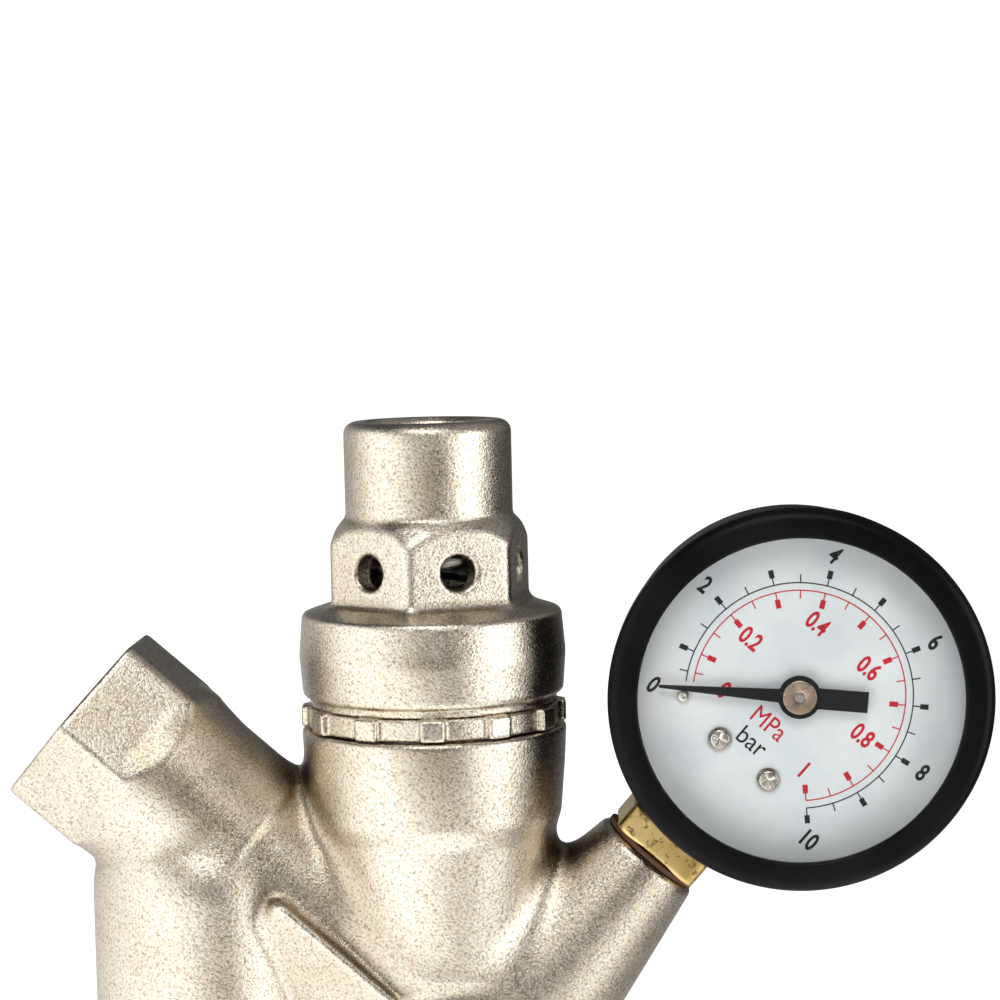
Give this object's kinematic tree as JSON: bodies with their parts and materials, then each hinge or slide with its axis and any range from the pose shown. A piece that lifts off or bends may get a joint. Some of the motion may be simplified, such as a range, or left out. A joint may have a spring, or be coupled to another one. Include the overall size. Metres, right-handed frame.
{
  "type": "pressure reducing valve",
  "caption": "Inclined-bonnet piston pressure reducing valve for threaded pipe, with built-in strainer, adjusting screw and dial pressure gauge.",
  "frame": {"origin": "centre of the inlet mouth, on the pipe axis", "axes": "+X along the pipe axis with the flow, from inlet to outlet; +Z from the pipe axis towards the gauge; the dial faces -Y"},
  "size_m": [0.108, 0.0378, 0.1406],
  "materials": {
    "nickel_casting": "sand-blasted nickel plate",
    "machined_nickel": "turned nickel plate",
    "bare_brass": "satin brass",
    "stainless": "satin",
    "spring_steel": "oiled",
    "seal_rubber": "matt",
    "gasket_rubber": "matt",
    "washer_fibre": "matt",
    "black_case": "satin black paint",
    "window": "clear",
    "dial_face": "printed white paint",
    "screw_steel": "bright",
    "pointer_black": "satin black paint",
    "copper_cap": "polished copper colour"
  },
  "bodies": {
    "housing": {"body": "nickel_casting", "bonnet": "nickel_casting", "lock_ring": "nickel_casting", "bonnet_o_ring": "seal_rubber", "valve_cage": "bare_brass", "cage_o_ring": "seal_rubber", "gauge_washer": "washer_fibre", "gauge_socket": "bare_brass", "gauge_case": "black_case", "gauge_window": "window", "bourdon_tube": "bare_brass", "tube_tip": "bare_brass", "movement_back_plate": "bare_brass", "movement_front_plate": "bare_brass", "movement_pillars": "bare_brass", "dial": "dial_face", "dial_screws": "screw_steel", "stop_pin": "screw_steel"},
    "upper_spring_seat": {"spring_seat": "stainless"},
    "adjuster": {"adjusting_screw": "bare_brass"},
    "piston_group": {"piston": "bare_brass", "piston_o_ring": "seal_rubber", "stem": "stainless", "stem_o_ring": "seal_rubber", "piston_nut": "stainless", "valve_disc": "bare_brass", "valve_gasket": "gasket_rubber", "retaining_nut": "stainless", "main_spring": "spring_steel"},
    "strainer": {"strainer_screen": "stainless", "strainer_cap": "nickel_casting", "strainer_o_ring": "seal_rubber"},
    "sector": {"sector_gear": "bare_brass"},
    "pointer_group": {"pointer": "pointer_black", "pointer_arbor": "stainless", "pointer_disc": "copper_cap", "hairspring": "spring_steel"}
  },
  "joints": [
    {"name": "adjusting_screw_turn", "type": "hinge", "parent": "upper_spring_seat", "child": "adjuster", "pos_m": [0.01632, 0, 0.05842], "axis": [-0.6626, 0, 0.749], "range_deg": [-1080, 360]},
    {"name": "spring_seat_travel", "type": "slide", "parent": "housing", "child": "upper_spring_seat", "axis": [-0.6626, 0, 0.749], "range_m": [-0.0045, 0.0015], "deforming": ["main_spring"]},
    {"name": "piston_travel", "type": "slide", "parent": "housing", "child": "piston_group", "axis": [-0.6626, 0, 0.749], "range_m": [0, 0.0024], "stiffness_N_per_m": 15000, "springref_m": -0.008, "deforming": ["main_spring"]},
    {"name": "strainer_removal", "type": "slide", "parent": "housing", "child": "strainer", "axis": [0.6626, 0, -0.749], "range_m": [0, 0.045]},
    {"name": "pointer_turn", "type": "hinge", "parent": "housing", "child": "pointer_group", "pos_m": [0.0752, 0, 0.0691], "axis": [0, -1, 0], "range_deg": [-261.6, 0], "stiffness_Nm_per_rad": 0.0001, "springref_deg": 28.65, "deforming": ["hairspring"]},
    {"name": "sector_turn", "type": "hinge", "parent": "housing", "child": "sector", "pos_m": [0.08351, 0, 0.05846], "axis": [0, -1, 0], "range_deg": [0, 32.75]}
  ],
  "couplings": [
    {"joint": "adjusting_screw_turn", "follows": "spring_seat_travel", "rad_per_m": 4188.8},
    {"joint": "sector_turn", "follows": "pointer_turn", "ratio": -0.125}
  ]
}
